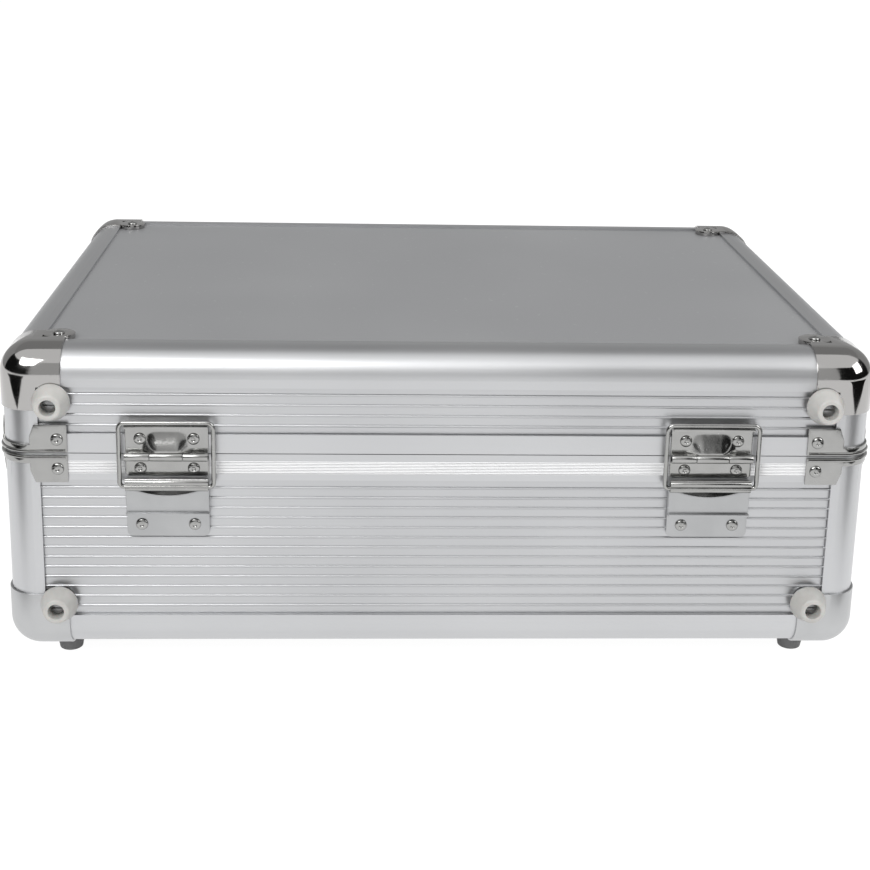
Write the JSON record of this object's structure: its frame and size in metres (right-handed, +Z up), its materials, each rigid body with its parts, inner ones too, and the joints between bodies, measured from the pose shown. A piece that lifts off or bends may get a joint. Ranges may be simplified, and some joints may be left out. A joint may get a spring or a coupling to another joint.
{
  "type": "tool case",
  "caption": "Ribbed aluminium tool case with rounded edge sections, riveted metal corners, a lid on take-apart hinges with bail clasps, draw latches and a folding handle.",
  "frame": {"origin": "on the underside of the rubber feet, halfway between the outermost points in X and Y", "axes": "+X along the long walls, +Y from the hinge wall to the handle wall, +Z up"},
  "size_m": [0.4618, 0.3642, 0.1814],
  "materials": {
    "plain_sheet": "matte",
    "ribbed_sheet": "satin",
    "edge_section": "satin",
    "polished_casting": "polished",
    "satin_casting": "satin",
    "bright_steel": "gloss",
    "screw_steel": "satin",
    "pale_plastic": "satin",
    "rubber": "matte",
    "grip_plastic": "satin",
    "foam": "matte"
  },
  "bodies": {
    "case_body": {"body_clips": "bright_steel", "body_cone_feet": "pale_plastic", "body_corner_bl": "satin_casting", "body_corner_br": "satin_casting", "body_corner_fl": "satin_casting", "body_corner_fr": "satin_casting", "body_edges": "edge_section", "body_rim": "edge_section", "body_rivets": "bright_steel", "body_screws": "screw_steel", "body_wall_back": "ribbed_sheet", "body_wall_front": "ribbed_sheet", "body_wall_left": "ribbed_sheet", "body_wall_right": "ribbed_sheet", "clasp_base_left": "bright_steel", "clasp_base_right": "bright_steel", "clasp_lever_left": "bright_steel", "clasp_lever_right": "bright_steel", "clasp_pins": "bright_steel", "floor_pad": "foam", "floor_sheet": "plain_sheet", "handle_brackets": "bright_steel", "handle_pins": "bright_steel", "hinge_leaf_lower_left": "bright_steel", "hinge_leaf_lower_right": "bright_steel", "hinge_pins": "bright_steel", "latch_base_left": "bright_steel", "latch_base_right": "bright_steel", "rubber_feet": "rubber", "wall_pads": "foam"},
    "lid": {"hinge_leaf_upper_left": "bright_steel", "hinge_leaf_upper_right": "bright_steel", "latch_keepers": "bright_steel", "lid_clips": "bright_steel", "lid_cone_feet": "pale_plastic", "lid_corner_bl": "polished_casting", "lid_corner_br": "polished_casting", "lid_corner_fl": "polished_casting", "lid_corner_fr": "polished_casting", "lid_edges": "edge_section", "lid_pad": "foam", "lid_rim": "edge_section", "lid_rivets": "bright_steel", "lid_screws": "screw_steel", "lid_sheet": "plain_sheet", "lid_wall_back": "ribbed_sheet", "lid_wall_front": "ribbed_sheet", "lid_wall_left": "ribbed_sheet", "lid_wall_right": "ribbed_sheet"},
    "clasp_bail_left": {"clasp_bail_left": "bright_steel", "clasp_tube_left": "bright_steel"},
    "latch_lever_left": {"latch_lever_left": "bright_steel"},
    "latch_bail_left": {"latch_bail_left": "bright_steel"},
    "clasp_bail_right": {"clasp_bail_right": "bright_steel", "clasp_tube_right": "bright_steel"},
    "latch_lever_right": {"latch_lever_right": "bright_steel"},
    "latch_bail_right": {"latch_bail_right": "bright_steel"},
    "handle": {"handle_arms": "bright_steel", "handle_grip": "grip_plastic"}
  },
  "joints": [
    {"name": "lid_hinge", "type": "hinge", "parent": "case_body", "child": "lid", "pos_m": [0, -0.1743, 0.123], "axis": [1, 0, 0], "range_deg": [0, 95]},
    {"name": "clasp_bail_swing_left", "type": "hinge", "parent": "case_body", "child": "clasp_bail_left", "pos_m": [0, -0.1743, 0.1065], "axis": [1, 0, 0], "range_deg": [0, 73.7]},
    {"name": "latch_lever_hinge_left", "type": "hinge", "parent": "case_body", "child": "latch_lever_left", "pos_m": [0, 0.1651, 0.1103], "axis": [1, 0, 0], "range_deg": [0, 110]},
    {"name": "latch_bail_swing_left", "type": "hinge", "parent": "latch_lever_left", "child": "latch_bail_left", "pos_m": [0, 0.1645, 0.1065], "axis": [1, 0, 0], "range_deg": [-110, 0]},
    {"name": "clasp_bail_swing_right", "type": "hinge", "parent": "case_body", "child": "clasp_bail_right", "pos_m": [0, -0.1743, 0.1065], "axis": [1, 0, 0], "range_deg": [0, 73.7]},
    {"name": "latch_lever_hinge_right", "type": "hinge", "parent": "case_body", "child": "latch_lever_right", "pos_m": [0, 0.1651, 0.1103], "axis": [1, 0, 0], "range_deg": [0, 110]},
    {"name": "latch_bail_swing_right", "type": "hinge", "parent": "latch_lever_right", "child": "latch_bail_right", "pos_m": [0, 0.1645, 0.1065], "axis": [1, 0, 0], "range_deg": [-110, 0]},
    {"name": "handle_hinge", "type": "hinge", "parent": "case_body", "child": "handle", "pos_m": [0, 0.1721, 0.088], "axis": [1, 0, 0], "range_deg": [0, 100]}
  ],
  "couplings": [
    {"joint": "clasp_bail_swing_left", "follows": "lid_hinge", "ratio": 0.77},
    {"joint": "latch_bail_swing_left", "follows": "latch_lever_hinge_left", "ratio": -1},
    {"joint": "clasp_bail_swing_right", "follows": "lid_hinge", "ratio": 0.77},
    {"joint": "latch_bail_swing_right", "follows": "latch_lever_hinge_right", "ratio": -1}
  ]
}
